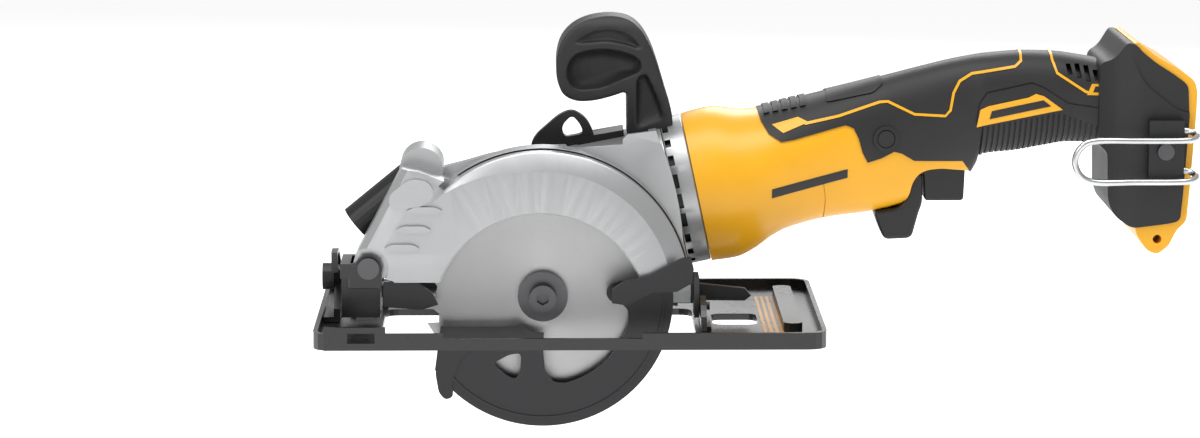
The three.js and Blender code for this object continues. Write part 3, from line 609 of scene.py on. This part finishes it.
def front_end(along):
    """Everything behind a plane square to the motor's axis."""
    return prism("front_end", [on_motor(along, -80), on_motor(along, 80), (330, 160), (330, -40)], *THROUGH)


def make_housing():
    shell = keep(body_surface("housing_shell", 0.0, end=216.0), front_end(HOUSING_START))
    cut(shell, prism("grip_region", GRIP_REGION, *THROUGH))
    cut(shell, prism("recess", rounded(TRIGGER_RECESS, 2.5), *THROUGH))
    seam = prism("seam", [(60, 0), (60, 130), (230, 130), (230, 0)], BODY_Y - SEAM_WIDTH / 2,
                 BODY_Y + SEAM_WIDTH / 2)
    cut(seam, body_surface("core", -0.6))
    cut(shell, seam)
    cut(shell, skin_patch("joint_line", [ribbon([(136, 71), (137.5, 60), (137, 44)], 0.5)], 1.0, -0.5))
    return settle(shell, "yellow_housing", "saw_body", ("housing_left", "housing_right"), 0.5, 3)


def make_grip():
    shell = keep(body_surface("grip_shell", GRIP_RAISED), prism("grip_region", GRIP_REGION, *THROUGH))
    cut(shell, prism("recess", rounded(TRIGGER_RECESS, 2.5), *THROUGH))
    seam = prism("seam", [(60, 0), (60, 140), (274, 140), (274, 0)], BODY_Y - SEAM_WIDTH / 2,
                 BODY_Y + SEAM_WIDTH / 2)
    cut(seam, body_surface("core", GRIP_RAISED - 0.6))
    cut(shell, seam)
    lines = [(211, 97), (212.5, 106), (216, 111.5), (238, 116.3), (244, 114), (256, 106.5), (274, 104)]
    cut(shell, skin_patch("panel_line", [ribbon(lines, 0.8)], GRIP_RAISED + 1, GRIP_RAISED - 0.7))
    grooves = []
    for i in range(22):
        x = 212.5 + i * 2.65
        top = 94.5 + (x - 212.5) * 0.19 if x < 250 else 101.6 - (x - 250) * 0.35
        grooves.append([(x, 74), (x + 1.1, 74), (x + 2.3, top), (x + 1.2, top)])
    cut(shell, skin_patch("grip_grooves", grooves, GRIP_RAISED + 2, GRIP_RAISED - 0.9))
    vents = []
    for i, (low, high) in enumerate([(120.2, 125.2), (118.6, 125.2), (117, 124.4), (117.6, 122.4)]):
        x = 254.8 + i * 4.3
        vents.append([(x + 0.8, low), (x + 3.2, low), (x + 2.2, high), (x - 0.2, high)])
    cut(shell, skin_patch("rear_vents", vents, GRIP_RAISED + 2, GRIP_RAISED - 3.5))
    return settle(shell, "black_grip", "saw_body", ("grip_left", "grip_right"), 0.45, 2)


def make_grip_trim():
    raised = GRIP_RAISED + 0.35
    front = [ribbon(STRIPE_FRONT, 1.25), [(111.3, 97), (124, 100.5), (129, 98.3), (116.5, 93.4)]]
    settle(skin_patch("pinstripe_front", front, raised, -0.8), "yellow_housing", "saw_body", (), 0.15)
    tail = [ribbon(STRIPE_REAR, 1.25)]
    settle(skin_patch("pinstripe_rear", tail, raised, -0.8), "yellow_housing", "saw_body", (), 0.15)
    frame_outline = [(267, 116), (275.6, 116), (275.6, 110.6), (264.6, 110.6)]
    window = [(268.6, 114.8), (274.4, 114.8), (274.4, 111.9), (267.4, 111.9)]
    badge = skin_patch("rear_badge", [frame_outline], raised, -0.8)
    cut(badge, prism("window", window, *THROUGH))
    settle(badge, "yellow_housing", "saw_body", (), 0.15)
    flash = [(211.3, 94.6), (213, 103.2), (217, 105), (236.5, 109.2), (240, 111), (244, 109.8),
             (253.2, 103.2), (249, 102.4), (214.6, 95.4)]
    plate = skin_patch("grip_flash", [flash], raised, -0.8)
    settle(plate, "yellow_housing", "saw_body", (), 0.15)
    bar = skin_patch("grip_flash_bar", [[(217.5, 98.6), (218.6, 102.6), (243.6, 107.9), (247.4, 105)]],
                     raised + 0.25, 0.0)
    settle(bar, "black_plastic", "saw_body", (), 0.12)
    label = skin_patch("side_label", [[(111, 66.8), (148.2, 75.2), (148.2, 70.9), (111, 62.3)]], 0.25, -0.6)
    settle(label, "black_plastic", "saw_body", (), 0.1)
    pad_outline = [(137.5, 107), (139, 112.6), (164.5, 119.4), (166.5, 116), (161, 111.6)]
    pad = skin_patch("grip_pad", [rounded(pad_outline, 2.0)], GRIP_RAISED + 0.6, -0.5)
    settle(pad, "black_grip", "saw_body", (), 0.3)
    bars = []
    for i in range(5):
        x = 107.6 + i * 4.4
        bars.append([(x, 101.4 + i * 0.9), (x + 2.9, 102 + i * 0.9), (x + 3.4, 107.4 + i),
                    (x + 0.4, 106.6 + i)])
    settle(skin_patch("grip_bars", bars, GRIP_RAISED + 0.8, -0.5), "black_grip", "saw_body", (), 0.25)


# ------------------------------------------------------------------ foot that takes the battery
FOOT_NEAR, FOOT_FAR = BODY_Y - 36.5, BODY_Y + 36.5
FOOT_SKIN = [(270, 127), (276, 129.4), (282, 138), (286, 137), (289, 133.4), (296, 127.8), (304, 122.8),
             (311.4, 117.4), (312.2, 102), (309.8, 65), (308.6, 51.4), (304, 50), (285, 47.6), (277.4, 53),
             (274.4, 60), (273.8, 84), (270, 87)]
FOOT_TRIM = [(291, 100), (289, 133.6), (284.5, 137.6), (287, 138), (297, 130.4), (306, 125.6),
             (314.6, 119.4), (316, 114), (315.6, 102), (313.2, 65), (312, 50.6), (307.4, 46.6),
             (303.6, 38.6), (298, 34.4), (292.6, 36.8), (287, 46), (288, 51), (291, 60)]
BAY = [(293, 59), (330, 59), (330, 117), (293, 117)]


def make_foot():
    foot = prism("foot_shell", rounded(FOOT_SKIN, 3.0), FOOT_NEAR, FOOT_FAR)
    plan = [(264, 34), (271, 26), (278, 19.5), (287, FOOT_NEAR), (330, FOOT_NEAR), (330, FOOT_FAR),
            (287, FOOT_FAR), (278, 84.5), (271, 78), (264, 70)]
    keep(foot, slab("plan", rounded(plan, 4.0), 0, 200))
    brow = [(280, 140), (290, 118), (308, 104), (330, 104), (330, 140)]
    for near, far in ((FOOT_NEAR - 1, FOOT_NEAR + 1.2), (FOOT_FAR - 1.2, FOOT_FAR + 1)):
        cut(foot, prism("brow", rounded(brow, 6.0), near, far))
    cut(foot, prism("bay", BAY, FOOT_NEAR + 5, FOOT_FAR - 5))
    settle(foot, "black_grip", "saw_body", (), 0.9, 3)
    trim = prism("foot_trim_frame", rounded(FOOT_TRIM, 2.5), FOOT_NEAR + 2.2, FOOT_FAR - 2.2)
    cut(trim, rod("tab_hole", 2.1, (298, -10, 42), (298, 140, 42)))
    cut(trim, prism("bay", BAY, FOOT_NEAR + 5, FOOT_FAR - 5))
    cut(trim, prism("core", rounded(FOOT_SKIN, 3.0), FOOT_NEAR + 5, FOOT_FAR - 5))
    settle(trim, "yellow_housing", "saw_body", ("foot_trim",), 0.6, 3)


HOOK_ROUTE = [(297, 13, 96), (306, 13, 96), (312, 12, 95.5), (314.6, 8.5, 94), (312, 5, 92.4),
              (304, 4.2, 92), (285, 4, 92), (266, 4, 92), (258.5, 4, 89), (255.6, 4, 82), (258.5, 4, 75),
              (266, 4, 72), (285, 4, 72), (304, 4.2, 72), (312, 5, 72.6), (314.6, 8.5, 74.4), (312, 12, 76),
              (306, 13, 76.5), (297, 13, 76.5)]


def make_hook():
    hook = wire("belt_hook_wire", curve_through(HOOK_ROUTE), 1.6)
    settle(hook, "zinc_wire", "saw_body", ("belt_hook",), 0)


# ------------------------------------------------------------------ castings
GUARD_NEAR, GUARD_FAR = -14.0, 11.0
GUARD_RADIUS = 71.5
BAND_NEAR = -1.6
WINDOW_CENTRE = (HUB[0] - 1, 0, HUB[2] - 10)
WINDOW_RADIUS = 51.3


def edge_wedge(name, start, end, width, depth):
    """A wedge that takes the near edge of the guard off along a line, outside being on the left."""
    along = (Vector(end) - Vector(start)).normalized()
    out = Vector((-along.y, along.x))
    rings = []
    for point in (Vector(start) - along * 2, Vector(end) + along * 2):
        beyond, within = point + out, point - out * width
        rings.append([(beyond.x, GUARD_NEAR - 0.3, beyond.y), (within.x, GUARD_NEAR - 0.3, within.y),
                      (beyond.x, GUARD_NEAR + depth, beyond.y)])
    return skin(name, rings)


def rim_chamfer(start, fading, end, steps):
    """A tool for the guard's sloping rim, which gets narrower from the angle where it starts fading."""
    def profile_at(degrees):
        fade = max(0.0, (degrees - fading) / (end - fading))
        return [(61.6 + 7.4 * fade, GUARD_NEAR - 0.2), (74, GUARD_NEAR - 0.2), (74, BAND_NEAR),
                (70.6, BAND_NEAR), (70.6, -9.0 - 4 * fade), (69.8, -9.6 - 4 * fade)]
    return swept("rim_chamfer", profile_at, start, end, steps, HUB)


def make_upper_guard():
    guard = from_frame("guard_casting", "upper_guard")
    cut(guard, rim_chamfer(-12, 100, 132, 120))
    band = [(69.0, BAND_NEAR), (GUARD_RADIUS + 0.1, BAND_NEAR), (GUARD_RADIUS + 0.1, GUARD_FAR),
            (69.0, GUARD_FAR)]
    settle(turned_part("guard_band", band, 8, 125, 180, HUB), "satin_casting", "saw_body", (), 0.3, 2)
    lip = [(WINDOW_RADIUS - 1, GUARD_NEAR - 0.2), (WINDOW_RADIUS + 1.0, GUARD_NEAR - 0.2),
           (WINDOW_RADIUS - 1, GUARD_NEAR + 1.2)]
    cut(guard, turned_part("window_chamfer", lip, -4, 184, 120, WINDOW_CENTRE))
    cut(guard, edge_wedge("front_chamfer", (-90.2, 38), (-67.4, 81.2), 3.5, 4.0))
    boss = rod("chute_boss", 10.5, (-58, 3, 79), (-58, 28, 79), 64)
    duct = [(-66, 72), (-63, 84), (-49, 79), (-37, 82), (-26, 85.2), (-14, 87.6), (2, 89), (12, 89.6),
            (12, 70), (-40, 60)]
    chute = prism("chute", rounded(duct, 2.0), 8.2, 15.5)
    join(guard, boss, chute)
    bulge = [(-51, 70), (-54, 76), (-63, 77.5), (-73.4, 69), (-72, 62), (-56, 64)]
    lobe = prism("nose_lobe", rounded(bulge, 5.0), GUARD_NEAR - 1.6, GUARD_NEAR + 2)
    join(guard, lobe)
    for x, z in ((-56, 62.2), (-61.5, 53.0), (-67, 44.2)):
        gill = [(x - 9, z - 0.6), (x - 5, z + 1.5), (x + 5, z + 1.5), (x + 9, z - 0.6), (x + 5, z - 1.8),
                (x - 5, z - 1.8)]
        join(guard, prism("gill", rounded(gill, 1.6), GUARD_NEAR - 2.0, GUARD_NEAR + 1))
    web_top = [(38.6, 86), (38.6, 92.6), (41, 95), (54.6, 96.8), (57, 89), (50, 86)]
    join(guard, prism("web_top", web_top, GUARD_FAR - 2.4, GUARD_FAR - 0.1))
    settle(guard, "satin_casting", "saw_body", ("upper_guard",), 0.7, 3, 24)


def make_pivot_ear():
    """Carries the near ear of the front bracket down past the pivot to the block below it."""
    plate = [(-92.4, 35), (-76.8, 35), (-76.8, 24), (-92.4, 24)]
    ear = prism("pivot_ear", rounded(plate, 1.5), -13.8, -11.2)
    settle(ear, "shoe_paint", "tilt_frame", (), 0.4)


def case_ring(along, top, bottom):
    """A section of the gear case square to the motor's axis, wider above than below."""
    ring = []
    for i in range(96):
        angle = 2 * math.pi * i / 96
        radius = (top + bottom) / 2 + (top - bottom) / 2 * math.cos(angle)
        x, z = on_motor(along, radius * math.cos(angle))
        ring.append((x, BODY_Y + radius * math.sin(angle), z))
    return ring


def make_gear_case():
    rows = [(8, 24, 16), (10, 29, 19), (14, 33, 21.5), (20, 35, 23), (30, 35.2, 24.5), (44, 34.8, 27),
            (52, 34.6, 29.5), (60, 34.9, 33.6), (65, 35.6, 35.6), (66, 37.2, 37.2), (69.5, 37.2, 37.2),
            (70.2, 36.6, 36.6), (71.6, 36.4, 36.4)]
    case = skin("gear_casting", [case_ring(*row) for row in rows])
    boss = rod("far_boss", 14.2, (HUB[0], 46, HUB[2]), (HUB[0], 67, HUB[2]))
    snout = rod("near_boss", 17, (HUB[0], 12, HUB[2]), (HUB[0], 50, HUB[2]))
    join(case, boss, snout)
    saddle = twin(case)
    settle(case, "satin_casting", "saw_body", ("gear_case",), 0.6, 3, 24)

    profile = [(31, 72), (36.3, 72), (36.6, 72.6), (36.6, 82.2), (36.1, 82.9), (31, 82.9)]
    centre = tuple(Vector(MOTOR_START))
    ring = turned("vent_ring", profile, 128, centre, tuple(MOTOR_AXIS))
    for i in range(12):
        turn = math.radians(-62 + i * 15.5)
        for side in (-1, 1):
            slot_at(ring, turn, side)
    settle(ring, "satin_casting", "saw_body", ("motor_ring",), 0.3, 2)
    # A black ring just inside the vent slots: painted shade, so that the slots read dark inside.
    inner = [(28, 66), (34.4, 66), (34.4, 80), (28, 80)]
    vent_shade = turned("vent_shade_ring", inner, 96, centre, tuple(MOTOR_AXIS))
    settle(vent_shade, "black_plastic", "saw_body", (), 0)
    return saddle


def slot_at(ring, turn, side):
    """Cuts one vent through the ring, at an angle up from level on the near or the far side."""
    y = BODY_Y + side * 36 * math.cos(turn)
    tall = 3.6 * max(0.35, math.cos(turn))
    low, high = on_motor(74, 36 * math.sin(turn) - tall), on_motor(74, 36 * math.sin(turn) + tall)
    step = Vector((MOTOR_AXIS.x, MOTOR_AXIS.z)) * 1.3
    outline = [tuple(Vector(low) - step * 1.2), tuple(Vector(low) + step), tuple(Vector(high) + step),
               tuple(Vector(high) - step * 1.2)]
    reach = sorted((y, y - side * 12))
    cut(ring, prism("slot", outline, reach[0] - 1.5, reach[1] + 1.5))


# ------------------------------------------------------------------ front handle
HORN = [(41, 84), (41, 112.6), (36, 110.4), (26, 107.6), (17, 107), (10, 110), (6.8, 118), (6.5, 128),
        (9, 137), (15, 143.6), (23, 147.4), (33, 148.9), (42, 147.4), (48, 142.6), (53, 134), (56.5, 124),
        (60, 112), (63.5, 101), (63.5, 90)]
DISH = [(11.5, 118), (11.8, 125), (15, 130.4), (22, 132.6), (31, 133.4), (43, 131), (48.5, 127), (48, 122),
        (40, 118.6), (28, 113.4), (16, 112.6)]
SCOOP = [(14, 135.6), (22, 142), (33, 144.2), (43, 141), (49.6, 132), (44, 134.4), (32, 137), (20, 136)]


def bowl(name, outline, face, depth):
    """A tool for a smooth hollow: the outline at the face, shrinking towards the bottom."""
    middle = sum((Vector(p) for p in outline), Vector((0, 0))) / len(outline)
    rings = []
    for share, size in ((-0.6, 1.0), (0.0, 1.0), (0.35, 0.94), (0.65, 0.82), (0.88, 0.62), (1.0, 0.35)):
        ring = [middle + (Vector(p) - middle) * size for p in outline]
        rings.append([(p.x, face + depth * share, p.y) for p in ring])
    return skin(name, rings)


def make_handle(saddle):
    horn = prism("front_handle", rounded(HORN, 5.0, 6), BODY_Y - 18, BODY_Y + 18)
    side = [(BODY_Y - 13, 80), (BODY_Y - 15, 104), (BODY_Y - 17.6, 118), (BODY_Y - 17.6, 132),
            (BODY_Y - 13, 146), (BODY_Y - 6, 151), (BODY_Y + 6, 151), (BODY_Y + 13, 146),
            (BODY_Y + 17.6, 132), (BODY_Y + 17.6, 118), (BODY_Y + 15, 104), (BODY_Y + 13, 80)]
    keep(horn, cross_prism("side", rounded(side, 8.0), 0, 80))
    stem = [(45.5, 93), (59, 98), (57.6, 104), (53.6, 114), (50.4, 121), (46, 119)]
    for face, inward in ((BODY_Y - 17.6, 1), (BODY_Y + 17.6, -1)):
        cut(horn, bowl("dish", rounded(DISH, 4.0), face, inward * 9.0))
        cut(horn, bowl("scoop", rounded(SCOOP, 3.0), face + inward, inward * 4.5))
        cut(horn, bowl("stem_panel", rounded(stem, 2.0), face + inward * 2.4, inward * 4.0))
    melt(horn, 0.7, 12)
    cut(horn, saddle)
    cut(horn, prism("front_limit", [(30, 70), (41.2, 70), (41.2, 97), (30, 97)], 0, 120))
    settle(horn, "black_grip", "saw_body", ("auxiliary_handle",), 0, angle=60)


LOOP = [(-5.6, 74), (-5.6, 86), (-3, 90.4), (8, 100), (14.4, 102.6), (21.4, 98.6), (25.6, 90), (25.6, 82),
        (6, 78)]
LOOP_EYE = [(10.4, 89), (9.4, 94.6), (14.5, 100), (18.6, 95), (20, 90.6)]


def make_tether_loop(saddle):
    plate = prism("tether_plate", rounded(LOOP, 4.0), BODY_Y - 9, BODY_Y - 3)
    cut(plate, prism("eye", rounded(LOOP_EYE, 3.0), 0, 120))
    strip = prism("strip", [(19, 80), (39.6, 80), (39.6, 92.6), (19, 89.0), (16, 87.6)],
                  BODY_Y - 10, BODY_Y + 10)
    join(plate, strip)
    cut(plate, saddle)
    settle(plate, "black_plastic", "saw_body", ("tether_loop",), 0.8, 3)


# ------------------------------------------------------------------ trigger and buttons
TRIGGER = [(183, 80), (183.4, 73), (186.5, 70.6), (187.2, 57), (206.4, 57), (207, 72), (207, 79.5)]
FINGER_HOOK = [(162, 52), (165.4, 42.6), (167.6, 38), (181, 38.6), (184.4, 51.4), (186.1, 56), (186.1, 71),
               (181, 72), (179, 60), (175, 54)]


def make_trigger():
    trigger = prism("trigger_shell", rounded(TRIGGER, 2.0), BODY_Y - 8.5, BODY_Y + 8.5)
    settle(trigger, "black_plastic", "trigger_body", ("trigger",), 1.2, 4)
    hook = prism("finger_hook", rounded(FINGER_HOOK, 3.0), BODY_Y - 10, BODY_Y + 10)
    settle(hook, "black_plastic", "saw_body", ("trigger_guard",), 1.6, 4)


def make_lock_off_boss():
    low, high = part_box("lock_off_button")
    x, z = (low[0] + high[0]) / 2 / MM, (low[2] + high[2]) / 2 / MM
    boss = skin_patch("lock_off_boss", [arc(x, z, 6.3, 0, 345, 32)], GRIP_RAISED + 0.9, -0.5)
    cut(boss, rod("hole", 4.5, (x, -10, z), (x, 120, z)))
    settle(boss, "black_grip", "saw_body", (), 0.35)


# ------------------------------------------------------------------ lower guard
LOWER_RADIUS = 62.5
LOWER_NEAR, LOWER_FAR = -8.5, 7.0
LOWER_WALL = 1.5
RIM_INSIDE = 60.7
SWEEP = (-146, 8)
BIG_WINDOW = [(1, HUB[2]), (0.2, -8), (1, -17), (5, -22.6)] + arc(HUB[0], HUB[2], 43, -76, -18, 16) + [
    (41, HUB[2] - 6), (30.5, HUB[2] + 4), (30, HUB[2])]
LITTLE_WINDOW = [(-24, -13.4), (-16, -9), (-10.4, -8.4), (-10.8, -17), (-13, -21.4), (-17.4, -19.4)]
LIP = [(-46, -3), (-50.4, -8), (-51.6, -18), (-50, -27.4), (-47, -31), (-43, -29.6), (-43.8, -22), (-40, -12),
       (-33, -4)]


def make_lower_guard():
    start, end = SWEEP
    x, z = HUB[0], HUB[2]
    inside_near, inside_far = LOWER_NEAR + LOWER_WALL, LOWER_FAR - LOWER_WALL
    wall = arc(x, z, LOWER_RADIUS, start, end, 90)
    wall += [(36, z + 8), (32, z - 10), (-20, z - 14), (-49, z - 14)]
    guard = prism("lower_guard_shell", wall, LOWER_NEAR, inside_near)
    cut(guard, prism("big_window", rounded(BIG_WINDOW, 1.6), -20, 0))
    cut(guard, prism("little_window", rounded(LITTLE_WINDOW, 2.4), -20, 0))
    cut(guard, rod("hub_window", 17, (x, -20, z), (x, 0, z), 64))
    lobe = arc(35.5, z + 2.5, 5, 60, 300, 16) + [(44, z - 8), (50, z - 4), (50, z + 5)]
    collar = [(17.3, inside_far), (22.5, inside_far), (22.5, LOWER_FAR), (17.3, LOWER_FAR)]
    far = turned("far_plate", collar, 72, (x, 0, z))
    plate = [(19, inside_far), (LOWER_RADIUS, inside_far), (LOWER_RADIUS, LOWER_FAR), (19, LOWER_FAR)]
    back = turned_part("back", plate, start, end, 90, HUB)
    edge = [(RIM_INSIDE, LOWER_NEAR), (LOWER_RADIUS, LOWER_NEAR), (LOWER_RADIUS, LOWER_FAR),
            (RIM_INSIDE, LOWER_FAR)]
    rim = turned_part("rim", edge, start, end, 90, HUB)
    raised = [(57.6, -9.3), (58.6, -9.3), (58.6, -8), (57.6, -8)]
    bead = turned_part("bead", raised, start + 1, end - 1, 90, HUB)
    lip = prism("lip", rounded(LIP, 2.0), LOWER_NEAR - 1, LOWER_FAR)
    cut(lip, rod("blade_room", RIM_INSIDE, (x, inside_near, z), (x, inside_far, z), 96))
    join(guard, prism("lobe", lobe, LOWER_NEAR, inside_near), rim, back, far, bead, lip)
    settle(guard, "dark_guard", "guard", ("lower_guard",), 0.45, 2, 30)


# ------------------------------------------------------------------ shoe print
def make_shoe_print():
    top = 3.2
    for i in range(5):
        x = 105.6 + i * 2.7
        stripe = block("shoe_print_%d" % i, x, x + 1.5, -22, 78, top - 0.2, top + 0.25)
        dress(stripe, "gold_print")
        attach(stripe, "shoe_body")


make_camera()
make_world()
make_floor()
make_light("top", (0.0, -0.3, 1.4), (0.1, 0.03, 0.03), (1.4, 0.7), 13.0)
make_light("key", (-0.9, -1.1, 1.0), (0.05, 0.05, 0.03), (0.6, 0.9), 7.0)
make_light("rim", (0.5, 1.4, 0.9), (0.1, 0.05, 0.05), (1.2, 0.8), 14.0)
dress_frame()
make_housing()
make_grip()
make_grip_trim()
make_foot()
make_hook()
make_upper_guard()
make_pivot_ear()
saddle = make_gear_case()
make_handle(twin(saddle))
make_tether_loop(saddle)
make_trigger()
make_lock_off_boss()
make_lower_guard()
make_shoe_print()

bpy.context.scene.view_settings.view_transform = "Standard"
